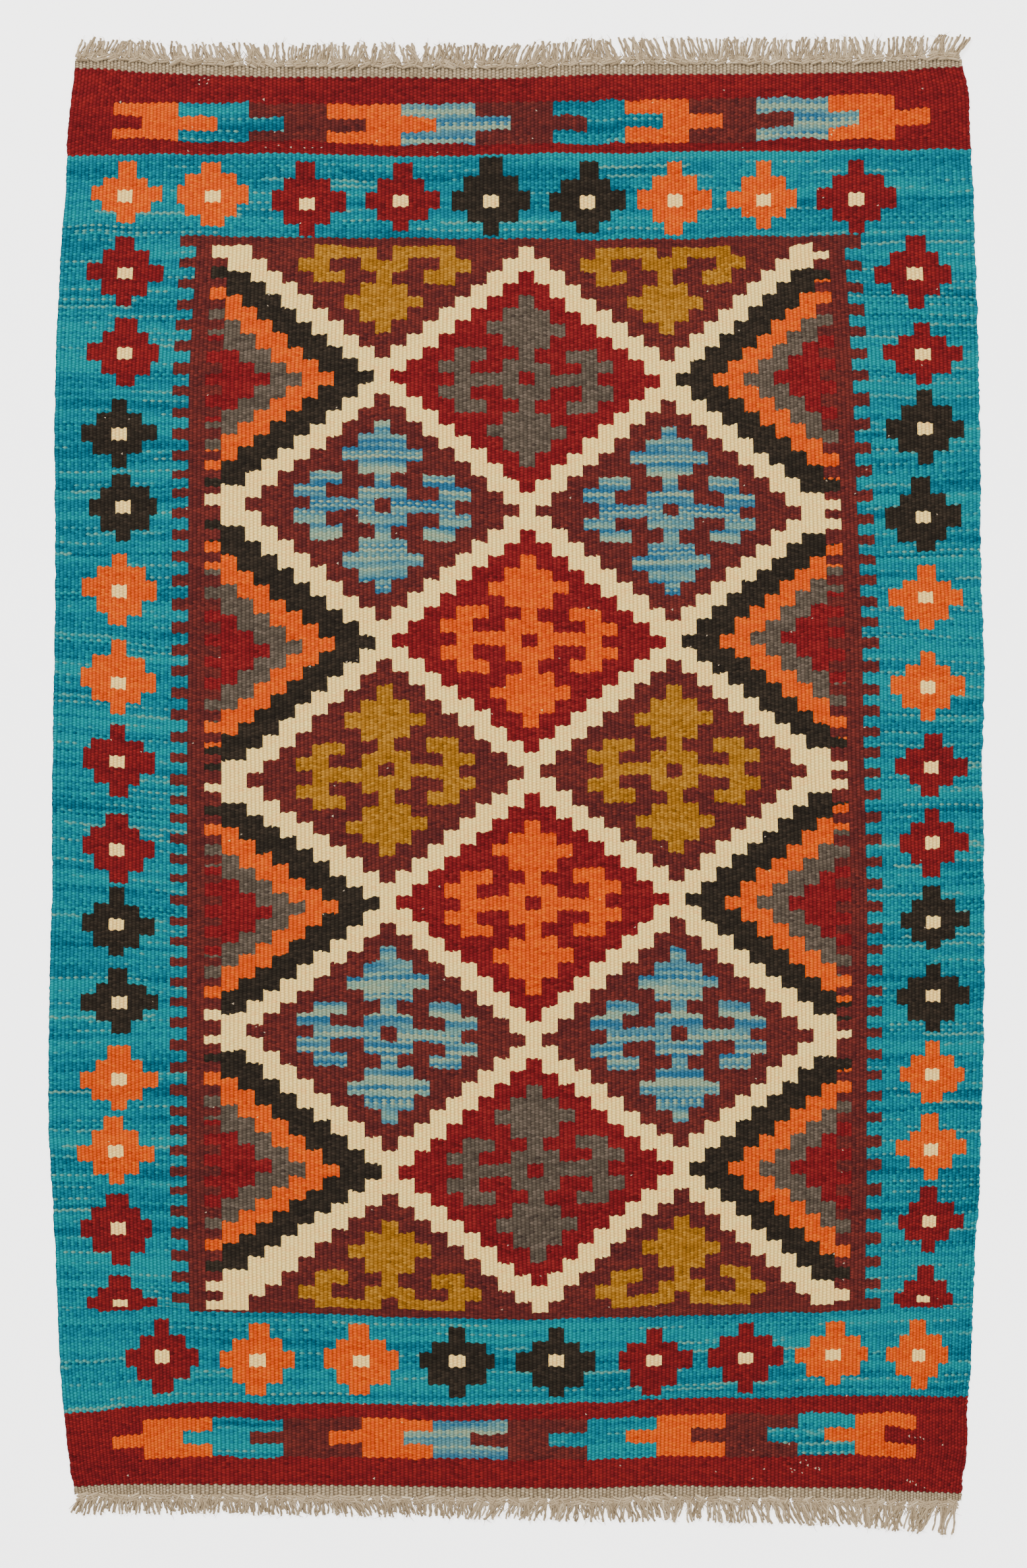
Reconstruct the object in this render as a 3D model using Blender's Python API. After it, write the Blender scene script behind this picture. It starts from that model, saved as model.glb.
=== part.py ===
"""Kilim rug: a flat-woven wool panel with a knotted fringe of undyed warp at each end.

X runs across the rug, +Y along the warp towards its upper end, +Z up from the surface on which
it lies. The origin is the centre of the underside. Sizes are in millimetres, and MM turns them
into Blender's metres.
"""

from collections import namedtuple
import math
import random

import bmesh
import bpy

MM = 0.001

# Woven panel
THICKNESS = 3.0  # from the floor to the crown of a rib
RIBS = 234  # one rib for each warp cord, 3.4 mm apart
RIB_DEPTH = 0.5  # depth of the groove between two ribs
RIB_BENDS = (-617, -560, -420, -250, 330, 530, 619)  # places along the rug where the ribs bend
MARGIN = 5.0  # the outermost cords, which the turned wefts cover without a groove
SELVEDGE_HEIGHT = 1.6  # where the top face ends at a selvedge
SELVEDGE_STEP = 12.0  # between two points of a selvedge
TURN_DEPTH = 0.6  # how far the turned wefts push the selvedge in and out
SWELL = 0.25  # slow rise and fall of the top face
FLOOR_STEP = 8  # an end edge has a floor point for every so many points of its ribs

# Fringe
SEAM = 0.3  # space between the panel and a heading
HEADING_INSET = 2.0  # of a heading's ends from the panel's corners
HEADING_DEPTH = 10.0  # plain-weave strip, along the warp, away from the corners
CORNER_DEPTH = 6.5  # the same at a corner
CORNER_REACH = 60.0  # over this distance the strip gains its full depth
HEADING_THICKNESS = 2.4
KNOTS = 93  # at each end
TWIN_KNOTS = 56  # those that let two strands out, the others one broad lock
KNOT_GAP = 0.2  # share of the knots' pitch that is left open
SIZE_SPREAD = 0.08  # share of its size by which a knot may differ
LENGTH_SPREAD = 3.0  # how much longer or shorter than its neighbours a strand may be
SWAY = 0.35  # sideways lean of all strands together, for each unit of length
TIP_SPREAD = 0.8  # how far a knot's tips may lie from the common lean
SPLAY = (0.9, 1.5)  # how far the tips of twin strands lie from the middle between them
FRINGE_SEED = 11

# The two selvedges: how far they lie from the warp's middle line at places along the rug.
Selvedge = namedtuple("Selvedge", "along left right")
SELVEDGES = [
    Selvedge(*row)
    for row in (
        (-617, -383, 385),
        (-597, -387, 387),
        (-579, -389, 390),
        (-545, -393, 390),
        (-511, -396, 393),
        (-442, -399, 395),
        (-408, -400, 397),
        (-351, -403, 401),
        (-305, -406, 402),
        (-237, -406, 404),
        (-168, -405, 405),
        (-99, -403, 405),
        (3, -403, 403),
        (106, -401, 405),
        (175, -400, 402),
        (312, -401, 401),
        (381, -399, 400),
        (449, -396, 397),
        (518, -391, 395),
        (552, -390, 393),
        (586, -387, 392),
        (601, -385, 391),
        (619, -383, 386),
    )
]

# The two end edges of the panel: how far along the warp they lie at places across it.
EndEdge = namedtuple("EndEdge", "across bottom top")
END_EDGES = [
    EndEdge(*row)
    for row in (
        (-385, -611.4, 618.3),
        (-357, -609.7, 617.7),
        (-329, -609.1, 614.8),
        (-271, -609.1, 612.0),
        (-214, -609.7, 610.3),
        (-129, -610.3, 610.3),
        (-14, -612.0, 609.1),
        (71, -612.6, 612.6),
        (129, -610.3, 612.6),
        (214, -611.4, 613.1),
        (300, -612.6, 614.3),
        (329, -614.8, 615.4),
        (357, -616.0, 618.3),
        (386, -617.1, 619.4),
    )
]

# How far the tips of the locks lie from the panel's end edges.
Reach = namedtuple("Reach", "across bottom top")
REACHES = [
    Reach(*row)
    for row in (
        (-385, 22, 23),
        (-200, 23, 26),
        (0, 24, 27),
        (150, 28, 29),
        (300, 30, 27),
        (386, 33, 24),
    )
]

# A knot, and the strands that leave it: how far a section lies beyond the heading, its width and
# its height. A tip lies as far out as its strand is long.
Section = namedtuple("Section", "beyond width height")
CROWN = Section(3.0, 6.4, 3.9)
NECK = Section(6.2, 4.4, 2.5)
TWIN_TIP = Section(None, 1.8, 1.5)
SINGLE_TIP = Section(None, 3.2, 1.6)

PANEL_COLOUR = (0.20, 0.035, 0.035, 1.0)
WARP_COLOUR = (0.50, 0.42, 0.32, 1.0)
YARN_ROUGHNESS = 0.92


def between(rows, key, column, at):
    """The column's value at a place, on straight lines between the rows."""
    lower, upper = rows[0], rows[1]
    for lower, upper in zip(rows, rows[1:]):
        if at <= getattr(upper, key):
            break
    start, stop = getattr(lower, key), getattr(upper, key)
    share = min(max((at - start) / (stop - start), 0.0), 1.0)
    return getattr(lower, column) * (1 - share) + getattr(upper, column) * share


def yarn_material(name, colour):
    material = bpy.data.materials.new(name)
    material.use_nodes = True
    shader = material.node_tree.nodes["Principled BSDF"]
    shader.inputs["Base Color"].default_value = colour
    shader.inputs["Roughness"].default_value = YARN_ROUGHNESS
    material.diffuse_color = colour
    return material


def finished_object(bm, name, material, collection):
    bmesh.ops.recalc_face_normals(bm, faces=bm.faces)
    bmesh.ops.scale(bm, vec=(MM, MM, MM), verts=bm.verts)
    mesh = bpy.data.meshes.new(name)
    bm.to_mesh(mesh)
    bm.free()
    mesh.materials.append(material)
    obj = bpy.data.objects.new(name, mesh)
    collection.objects.link(obj)
    return obj


def turned_wefts(along):
    """The small ins and outs of a selvedge, where the wefts turn round the last cord."""
    return TURN_DEPTH * (math.sin(along * 0.21) + math.sin(along * 0.13 + 1.3)) / 2


def swell(across, along):
    waves = math.sin(across / 61 + along / 140) + math.sin(along / 83 - across / 190 + 2.0)
    return SWELL * waves / 2


def along_at(bends):
    """The place along the rug that lies so many stretches, whole and part, from its lower end."""
    stretch = min(int(bends), len(RIB_BENDS) - 2)
    share = bends - stretch
    return RIB_BENDS[stretch] * (1 - share) + RIB_BENDS[stretch + 1] * share


def onto_end_edges(across, along):
    """Stretches the warp so that its first and last places lie on the uneven end edges."""
    share = (along - RIB_BENDS[0]) / (RIB_BENDS[-1] - RIB_BENDS[0])
    bottom = between(END_EDGES, "across", "bottom", across)
    top = between(END_EDGES, "across", "top", across)
    return bottom * (1 - share) + top * share


def woven_panel(material, collection):
    """A ribbed top face on a flat underside, inside the uneven outline of the rug."""
    bm = bmesh.new()
    end_column = bm.verts.layers.int.new("end_column")  # of a point on an end edge, or 0
    columns, bands = 2 * RIBS + 2, len(RIB_BENDS) - 1
    bmesh.ops.create_grid(bm, x_segments=columns, y_segments=bands, size=0.5)
    sides = [e for e in bm.edges if abs(e.verts[0].co.x + e.verts[1].co.x) > 1 - 1e-5]
    for band in range(bands):
        middle = (band + 0.5) / bands - 0.5
        pair = [e for e in sides if abs((e.verts[0].co.y + e.verts[1].co.y) / 2 - middle) < 1e-5]
        steps = round((RIB_BENDS[band + 1] - RIB_BENDS[band]) / SELVEDGE_STEP)
        bmesh.ops.subdivide_edges(bm, edges=pair, cuts=steps - 1)

    for vert in bm.verts:
        column = round((vert.co.x + 0.5) * columns)
        bends = min(max((vert.co.y + 0.5) * bands, 0.0), bands)
        at_end = min(bends, bands - bends) < 1e-4
        along = along_at(bends)
        left = between(SELVEDGES, "along", "left", along)
        right = between(SELVEDGES, "along", "right", along)
        turned = 0.0 if at_end else turned_wefts(along)
        if column == 0:
            across, height = left - turned, SELVEDGE_HEIGHT
        elif column == columns:
            across, height = right + turned, SELVEDGE_HEIGHT
        else:
            ribbed = right - left - 2 * MARGIN
            across = left + MARGIN + ribbed * (column - 1) / (2 * RIBS)
            height = THICKNESS - SWELL + swell(across, along)
            height -= 0.0 if column % 2 else RIB_DEPTH
            vert[end_column] = column if at_end else 0
        vert.co = across, onto_end_edges(across, along), height

    bmesh.ops.extrude_edge_only(bm, edges=[e for e in bm.edges if e.is_boundary])
    rim = [e for e in bm.edges if e.is_boundary]
    for vert in {v for e in rim for v in e.verts}:
        vert.co.z = 0
    bmesh.ops.holes_fill(bm, edges=rim, sides=0)
    spare = [
        e
        for e in bm.edges
        if e.verts[0][end_column] == e.verts[1][end_column]
        and e.verts[0][end_column] % FLOOR_STEP
        and min(v.co.z for v in e.verts) == 0
    ]
    bmesh.ops.dissolve_edges(bm, edges=spare, use_verts=True)
    return finished_object(bm, "woven_panel", material, collection)


def heading_depth(across):
    """The heading is woven shallower towards the corners."""
    from_corner = min(across - END_EDGES[0].across, END_EDGES[-1].across - across)
    share = min(max(from_corner / CORNER_REACH, 0.0), 1.0)
    return CORNER_DEPTH + (HEADING_DEPTH - CORNER_DEPTH) * math.sin(share * math.pi / 2)


def sway(across, outwards):
    """The lean that neighbouring strands share, which turns slowly along the fringe."""
    return SWAY * (math.sin(across / 60 + 2 * outwards) + math.sin(across / 31 + outwards)) / 2


def extruded(bm, faces):
    """The faces that these become when they are drawn out together from the faces round them."""
    region = faces + list({e for f in faces for e in f.edges})
    parts = bmesh.ops.extrude_face_region(bm, geom=region)["geom"]
    return [part for part in parts if isinstance(part, bmesh.types.BMFace)]


def fringe(end, material, collection):
    """A heading strip with strands of warp out of each knot, at the end "top" or "bottom"."""
    outwards = {"top": 1, "bottom": -1}[end]
    rng = random.Random(FRINGE_SEED + outwards)
    twins = set(rng.sample(range(KNOTS), TWIN_KNOTS))
    start = END_EDGES[0].across + HEADING_INSET
    pitch = (END_EDGES[-1].across - HEADING_INSET - start) / KNOTS

    bm = bmesh.new()
    place = bm.verts.layers.float.new("place")  # 2k + 1 to 2k + 2 along knot k, gaps between
    outer = bm.verts.layers.int.new("outer")  # 1 on the strip's outer edge and beyond

    def across_of(at):
        if at % 1:
            return (across_of(at - 0.5) + across_of(at + 0.5)) / 2
        knot, side = divmod(at - 1, 2)
        share = knot + (1 - KNOT_GAP / 2 if side else KNOT_GAP / 2)
        return start + pitch * min(max(share, 0.0), KNOTS)

    def along_of(across, beyond_seam):
        return between(END_EDGES, "across", end, across) + outwards * (SEAM + beyond_seam)

    bmesh.ops.create_grid(bm, x_segments=2 * KNOTS + 1, y_segments=1, size=0.5)
    for vert in bm.verts:
        vert.co.x = round((vert.co.x + 0.5) * (2 * KNOTS + 1))
    roots = [
        e
        for e in bm.edges
        if min(v.co.y for v in e.verts) > 0
        and min(v.co.x for v in e.verts) % 2
        and min(v.co.x for v in e.verts) // 2 in twins
    ]
    bmesh.ops.subdivide_edges(bm, edges=roots, cuts=1)
    for vert in bm.verts:
        vert[place] = vert.co.x
        vert[outer] = vert.co.y > 0
        across = across_of(vert[place])
        depth = heading_depth(across) if vert[outer] else 0.0
        vert.co = across, along_of(across, depth), HEADING_THICKNESS
    for vert in {v for f in extruded(bm, bm.faces[:]) for v in f.verts}:
        vert.co.z = 0

    def move_section(faces, section, beyond, centre, size):
        verts = {v for f in faces for v in f.verts}
        first, last = min(v[place] for v in verts), max(v[place] for v in verts)
        for vert in verts:
            share = (vert[place] - first) / (last - first) - 0.5
            height = section.height * size if vert.co.z > 0 else 0.0
            along = along_of(middle, depth + beyond)
            vert.co = centre + share * section.width * size, along, height

    knots = {}
    for face in bm.faces:
        at = min(v[place] for v in face.verts)
        if all(v[outer] for v in face.verts) and int(at) % 2:
            knots.setdefault(int(at) // 2, []).append(face)
    for knot, faces in sorted(knots.items()):
        middle = across_of(2 * knot + 1.5)
        depth = heading_depth(middle)
        size = 1 + rng.uniform(-SIZE_SPREAD, SIZE_SPREAD)
        for section in (CROWN, NECK):
            faces = extruded(bm, faces)
            move_section(faces, section, section.beyond, middle, size)
        lean = sway(middle, outwards)
        off = rng.uniform(-TIP_SPREAD, TIP_SPREAD)
        for face in faces:
            reach = between(REACHES, "across", end, middle)
            length = reach - depth + rng.uniform(-LENGTH_SPREAD, LENGTH_SPREAD)
            centre = middle + off + lean * (length - NECK.beyond)
            tip = SINGLE_TIP
            if len(faces) == 2:
                tip = TWIN_TIP
                right = max(v[place] for v in face.verts) > 2 * knot + 1.75
                centre += rng.uniform(*SPLAY) * (1 if right else -1)
            strand = bmesh.ops.extrude_discrete_faces(bm, faces=[face])["faces"]
            move_section(strand, tip, length, centre, size)
    return finished_object(bm, "fringe_" + end, material, collection)


def centre_on_origin(objects):
    """Moves the meshes so that the middle of the rug's outline is at the origin."""
    points = [v.co for obj in objects for v in obj.data.vertices]
    middle = [(min(p[i] for p in points) + max(p[i] for p in points)) / 2 for i in (0, 1)]
    for obj in objects:
        for vert in obj.data.vertices:
            vert.co.x -= middle[0]
            vert.co.y -= middle[1]


def main():
    for obj in list(bpy.data.objects):
        bpy.data.objects.remove(obj, do_unlink=True)
    collection = bpy.data.collections.new("kilim_rug")
    bpy.context.scene.collection.children.link(collection)
    pieces = [woven_panel(yarn_material("dyed_wool", PANEL_COLOUR), collection)]
    for end in ("top", "bottom"):
        pieces.append(fringe(end, yarn_material("undyed_warp_" + end, WARP_COLOUR), collection))
    centre_on_origin(pieces)


main()
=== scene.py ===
"""Kilim rug: the woven panel, bead by bead, its knotted fringe, and the studio round it.

X runs across the rug along its wefts, +Y along the warp towards its upper end, +Z up. Tables of
the rug's own places are in millimetres from the middle of its warp, as in the part's source.
"""

import math
from collections import namedtuple

import bpy
import numpy as np
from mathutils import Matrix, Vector


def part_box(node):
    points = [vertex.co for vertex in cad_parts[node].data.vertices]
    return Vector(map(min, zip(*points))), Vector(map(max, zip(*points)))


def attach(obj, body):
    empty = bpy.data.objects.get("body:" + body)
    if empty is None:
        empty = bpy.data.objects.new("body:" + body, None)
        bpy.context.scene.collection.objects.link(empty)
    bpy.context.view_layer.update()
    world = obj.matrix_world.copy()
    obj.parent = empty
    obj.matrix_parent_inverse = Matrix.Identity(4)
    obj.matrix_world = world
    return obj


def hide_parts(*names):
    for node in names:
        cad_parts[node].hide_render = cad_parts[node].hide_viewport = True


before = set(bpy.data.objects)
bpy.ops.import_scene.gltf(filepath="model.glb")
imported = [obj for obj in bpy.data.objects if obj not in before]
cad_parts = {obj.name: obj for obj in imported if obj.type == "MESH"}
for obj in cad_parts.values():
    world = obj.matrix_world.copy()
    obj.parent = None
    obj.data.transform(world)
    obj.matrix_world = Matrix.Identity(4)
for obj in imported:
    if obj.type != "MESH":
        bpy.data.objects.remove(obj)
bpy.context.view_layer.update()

MM = 0.001


def records(fields, *rows):
    """A table whose rows have named fields."""
    kind = namedtuple("Record", fields)
    return [kind(*row) for row in rows]


# ---- outline, as in part.py

SELVEDGES = records(
    "along left right",
    (-617, -383, 385), (-597, -387, 387), (-579, -389, 390), (-545, -393, 390),
    (-511, -396, 393), (-442, -399, 395), (-408, -400, 397), (-351, -403, 401),
    (-305, -406, 402), (-237, -406, 404), (-168, -405, 405), (-99, -403, 405),
    (3, -403, 403), (106, -401, 405), (175, -400, 402), (312, -401, 401),
    (381, -399, 400), (449, -396, 397), (518, -391, 395), (552, -390, 393),
    (586, -387, 392), (601, -385, 391), (619, -383, 386),
)

END_EDGES = records(
    "across bottom top",
    (-385, -611.4, 618.3), (-357, -609.7, 617.7), (-329, -609.1, 614.8),
    (-271, -609.1, 612), (-214, -609.7, 610.3), (-129, -610.3, 610.3),
    (-14, -612, 609.1), (71, -612.6, 612.6), (129, -610.3, 612.6),
    (214, -611.4, 613.1), (300, -612.6, 614.3), (329, -614.8, 615.4),
    (357, -616, 618.3), (386, -617.1, 619.4),
)

REACHES = records(
    "across bottom top",
    (-385, 22, 23), (-200, 23, 26), (0, 24, 27),
    (150, 28, 29), (300, 30, 27), (386, 33, 24),
)

# ---- the loom's count

LEFT_BORDER = 31  # ribs from the left selvedge to the tips of the left comb
LEFT_FIELD = 88  # from there to the pattern's middle line
RIGHT_FIELD = 88  # from there to the tips of the right comb
RIGHT_BORDER = 28
MIDDLE = LEFT_BORDER + LEFT_FIELD
RIBS = MIDDLE + RIGHT_FIELD + RIGHT_BORDER

# A pick is one weft. It passes over every second rib, so a bead of yarn is two picks tall.
TOP_TURQUOISE = 58  # first pick of the turquoise band
FIELD = 120
ROW_ONE = 128  # first pick of the field's first pattern row
ROW_PICKS = 10
ROWS = 81
FIELD_END = 948
BOTTOM_RED = 1014
PICKS = 1078
STEP = 4  # ribs in one step of the pattern
HEADING_PICKS = 8
HALF_LENGTH = 613  # about half of the panel
HEADING_DEPTH = 6.5  # at the corners
HEADING_DEEPER = 3.5  # added away from them
CORNER_WIDTH = 60

# Where the comb tips, the lattice's vertices and crossings and the middle line lie across the
# rug, at places along it.
LATTICE_COLUMNS = (-72, -36, 0, 36, 72)  # ribs from the middle line
WARPS = records(
    "along comb_left left_vertex left_cross middle right_cross right_vertex comb_right",
    (-617, -296, -238.4, -108.7, 21, 140, 259.1, 312),
    (-540, -297.4, -239, -109.5, 20.6, 141.5, 260.1, 313.4),
    (-456, -299, -239.9, -110.5, 20.3, 143.3, 261, 315),
    (-343, -301, -242, -109.8, 15.9, 142.6, 264, 316),
    (-224, -301, -242.1, -111.1, 14.3, 140.8, 263.9, 316.3),
    (-104, -301, -240.8, -112, 14, 139, 263, 317),
    (9, -300.9, -241.6, -113.2, 12.9, 136.5, 257.9, 315),
    (123, -299.4, -242.7, -115.7, 10.8, 136, 255.1, 313.8),
    (237, -299.1, -242.9, -116.5, 9, 133.3, 252.8, 308.8),
    (350, -298.8, -241.9, -117.3, 8.4, 130.8, 248.7, 304.8),
    (459, -292.1, -236.4, -114.8, 8, 127.9, 242.2, 298.1),
    (546, -290.9, -236, -114.3, 8, 126.7, 242.8, 296.9),
    (619, -290, -235.8, -113.9, 8, 125.8, 243.6, 296),
)

# How far along the rug some picks lie, at places across it.
PLACES = (-400, -295, -234, -111, 10, 134, 257, 310, 398)
PICK_LINES = records(
    "pick alongs",
    (18, (588, 587.7, 588, 586.8, 589.1, 591.4, 593.1, 594.5, 596)),
    (47, (556.5, 556, 554.8, 552, 552, 553.1, 556.3, 557.1, 557.7)),
    (58, (542.8, 544, 544.5, 542.3, 543.7, 545.7, 546.5, 548, 547.4)),
    (120, (474.2, 473.2, 472.3, 470.7, 469.7, 470.6, 473.2, 474.5, 476.5)),
    (133, (459.5, 459.5, 459.8, 459, 458.5, 459.2, 460.1, 460.3, 460.5)),
    (233, (349.7, 347.9, 347.5, 350.8, 347.5, 345.9, 352.3, 351.8, 349.7)),
    (333, (236.6, 240.7, 241.7, 239.8, 233.8, 235.8, 231.2, 232.2, 236.6)),
    (433, (123.4, 114.5, 112.2, 122.9, 122.3, 120.8, 127.3, 126.6, 123.4)),
    (533, (9.6, 1.6, -0.4, 10, 7.3, 10.7, 9.6, 9.6, 9.6)),
    (633, (-104.3, -113.2, -115.5, -105.4, -106.6, -103.2, -106.5, -106.1, -104.3)),
    (733, (-218.1, -216.5, -216.1, -217.2, -224.7, -219.2, -220.3, -219.9, -218.1)),
    (833, (-332, -332.9, -333.1, -339.4, -336.8, -336.3, -335.4, -334.7, -332)),
    (933, (-446.8, -450.5, -451.5, -454.9, -458.2, -449.1, -448.8, -448.4, -446.8)),
    (948, (-459, -458, -460.2, -464.4, -466, -464.3, -459.7, -457.6, -455)),
    (1014, (-549.5, -539, -539.1, -540.1, -540.4, -535.8, -532.9, -532.2, -534)),
)

# ---- relief

Noise = namedtuple("Noise", "seed cells")
Stray = namedtuple("Stray", "wander across along down")  # of a point, by chance
CROWN_HEIGHT = 3.0
GROOVE = 0.85  # depth between two ribs
VALLEY = 0.6  # depth between two beads of a rib
VALLEY_PAINTED_LIGHT = 0.12  # painted shade: the share of a crown's light painted on a valley
WEAVE_SEED = 1000
CROWN_STRAY = Stray(0.12, 0.1, 0.12, 0.07)
GROOVE_STRAY = Stray(0.12, 0.12, 0.1, 0.1)
SELVEDGE_STRAY = Stray(0.5, 0.45, 0.0, 0.3)
SELVEDGE_TURN = 0.3  # how far the turns of the wefts stand out
SELVEDGE_HEIGHT = 1.5
ACROSS_NOISE = Noise(9, (60, 120))
ALONG_NOISE = Noise(10, (26, 44))
FINE_NOISE = Noise(11, (58, 90))
WANDER = 1.1  # how far the weft lines stray along the rug
FINE_WANDER = 0.4 * WANDER
STRAIGHT_PICKS = 30  # at each end, where they stray less
LEAST_WANDER = 0.25
SWELL = 0.3
SWELL_WAVES = ((61, 140), (190, 83))  # lengths across and along
SWELL_PHASE = 2.0
RIB_PITCH = 3.5
PICK_PITCH = 1.15
FLOOR_INSET = 0.5  # how far the underside stays inside the selvedges
SIDE_START = 340  # the selvedges lie farther out than this
UNDERSIDE_PAINTED_LIGHT = 0.4  # painted shade: the share of a crown's painted light, on the underside
PANEL_CUTS = (0, 216, 432, 648, 864, PICKS)


def grid(*axes):
    return np.meshgrid(*axes, indexing="ij")


def column_at(rows, key, column, at):
    """One column of a table at places between its rows, whose keys rise."""
    keys, values = ([getattr(row, name) for row in rows] for name in (key, column))
    return np.interp(at, keys, values)


def smooth_noise(noise, shape):
    """Soft noise from -1 to 1 over an array, with so many cells each way."""
    rng = np.random.default_rng(noise.seed)
    values = rng.uniform(-1, 1, [count + 3 for count in noise.cells])
    for size, count in zip(shape, noise.cells):
        at = np.linspace(0, count, size, endpoint=False)
        low = at.astype(int)
        share = at - low
        share = share * share * (3 - 2 * share)
        values = values[low].T * (1 - share) + values[low + 1].T * share
    return values


def between(stations, lines, at):
    """The values of lines, one for each station, at places between the stations."""
    stretch = np.clip(np.searchsorted(stations, at, side="right") - 1, 0, len(stations) - 2)
    start, stop = stations[stretch], stations[stretch + 1]
    share = (at - start) / (stop - start)
    low = np.take_along_axis(lines, stretch[None], 0)[0]
    high = np.take_along_axis(lines, stretch[None] + 1, 0)[0]
    return low * (1 - share) + high * share


def across_of(rib, along):
    """Where a place between the ribs lies across the rug. Both are arrays of one shape."""
    columns = [MIDDLE + column for column in LATTICE_COLUMNS]
    stations = np.array([0, LEFT_BORDER, *columns, MIDDLE + RIGHT_FIELD, RIBS])
    lines = [column_at(WARPS, "along", name, along) for name in WARPS[0]._fields[1:]]
    left, right = (column_at(SELVEDGES, "along", name, along) for name in ("left", "right"))
    return between(stations, np.array([left, *lines, right]), rib)


def heading_depth(across):
    """The plain-weave heading is shallower towards the corners."""
    from_corner = np.minimum(across - END_EDGES[0].across, END_EDGES[-1].across - across)
    share = np.clip(from_corner / CORNER_WIDTH, 0, 1)
    return HEADING_DEPTH + HEADING_DEEPER * np.sin(share * math.pi / 2)


def along_of(pick, across):
    """Where a pick lies along the rug at a place across it."""
    top, bottom = (column_at(END_EDGES, "across", name, across) for name in ("top", "bottom"))
    depth = heading_depth(across)
    picks = [-HEADING_PICKS, 0, *(line.pick for line in PICK_LINES), PICKS, PICKS + HEADING_PICKS]
    lines = [np.interp(across, PLACES, line.alongs) for line in PICK_LINES]
    lines = np.array([top + depth, top, *lines, bottom, bottom - depth])
    return between(np.array(picks), lines, pick)


def place(rib, pick):
    """Across and along of a point of the weave, in millimetres."""
    rib, pick = np.broadcast_arrays(np.asarray(rib, float), np.asarray(pick, float))
    along = np.interp(pick, (0, PICKS), (HALF_LENGTH, -HALF_LENGTH))
    across = across_of(rib, along)
    along = along_of(pick, across)
    across = across_of(rib, along)
    return across, along_of(pick, across)


# ---- dyed yarns

# The colours of each yarn from its dark wefts to its palest, and the painted shade in the grooves
# between its beads (the share of light painted there).
Dye = namedtuple("Dye", "dark middle light pale groove", defaults=[0.5])
DYES = {
    "red": Dye((79, 14, 18), (106, 21, 25), (126, 28, 28), (195, 172, 146)),
    "madder": Dye((83, 15, 18), (110, 20, 25), (128, 31, 31), (195, 172, 146)),
    "aubergine": Dye((64, 25, 26), (85, 33, 31), (107, 41, 35), (190, 168, 142)),
    "turquoise": Dye((0, 78, 97), (0, 108, 125), (0, 130, 137), (92, 147, 131)),
    "light_blue": Dye((37, 93, 125), (78, 126, 133), (121, 152, 131), (138, 155, 127)),
    "orange": Dye((184, 55, 0), (209, 74, 0), (223, 92, 0), (230, 190, 120)),
    "olive_gold": Dye((120, 75, 12), (150, 98, 21), (174, 121, 39), (178, 136, 69)),
    "cream": Dye((255, 192, 104), (255, 215, 126), (255, 227, 137), (255, 235, 135), 0.55),
    "black": Dye((28, 23, 18), (38, 32, 25), (52, 43, 34), (180, 160, 135)),
    "grey": Dye((61, 51, 44), (79, 69, 58), (100, 87, 75), (122, 104, 91)),
    "undyed": Dye((122, 104, 81), (155, 135, 106), (181, 161, 130), (208, 190, 160), 0.3),
}
RED, MADDER, AUBERGINE, TURQUOISE, LIGHT_BLUE, ORANGE, OLIVE, CREAM, BLACK, GREY, UNDYED = range(
    len(DYES)
)

# ---- pattern

# Half of the hooked motif, from its middle row outwards: the columns of each row.
MOTIF = ((1, 2, 3, 4), (0, 1, 4, 5), (0, 3, 4), (0, 1), (0, 1, 2), (0, 1), (0,))
RED_DIAMOND_MOTIFS = {11: GREY, 31: ORANGE, 51: ORANGE, 71: GREY}
AUBERGINE_DIAMOND_MOTIFS = {1: OLIVE, 21: LIGHT_BLUE, 41: OLIVE, 61: LIGHT_BLUE, 81: OLIVE}
HALF_DIAMOND = 9  # steps
DIAMOND_ROWS = 10  # of half a diamond
CHEVRON_START = 9.5
CHEVRONS = ((12, BLACK), (14, ORANGE), (16, GREY), (math.inf, MADDER))  # steps where each ends
CHEVRON_TIPS = np.array([11, 31, 51, 71])  # the rows of their tips
EARLY_START = 8.5  # from this step on they end early at the lower left
EARLY_PICKS = ((850, 890), (0, 8))  # at these picks, by so many
LATTICE_SIDES = (17.5, 19)  # the steps where the lattice runs on to the comb
LEFT_CORNER_END = 945  # pick
ROW_NOISE = Noise(15, (34, 60))
ROW_STRAY = 1.7  # picks of unevenness

# The parts of a cross: shares of its rise or fall where each starts and stops, and its arms.
CROSS_ROWS = ((-1, -0.58, 0), (-0.58, -0.25, 1), (-0.25, 0.26, 2), (0.26, 0.65, 1), (0.65, 1, 0))
CROSS_SEED = 14
CROSS_EDGES = (-1, 0, 0, 1)  # picks by which its parts end unevenly, and below also its arms
ARM_ENDS = ((0, 0, 1), (0, 0, 1), (-1, 0, 0))  # ribs, for each count of arms
HEARTS = ((-0.07, 1.7, 4), (0.07, 2.2, 5))  # least and most tilt, half width and half height


def in_motif(column, row):
    """Whether a step of the pattern, counted from a diamond's centre, is in the hooked motif."""
    hit = np.zeros(column.shape, bool)
    for distance, columns in enumerate(MOTIF):
        hit |= (np.abs(row) == distance) & np.isin(np.abs(column), columns)
    return hit


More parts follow.
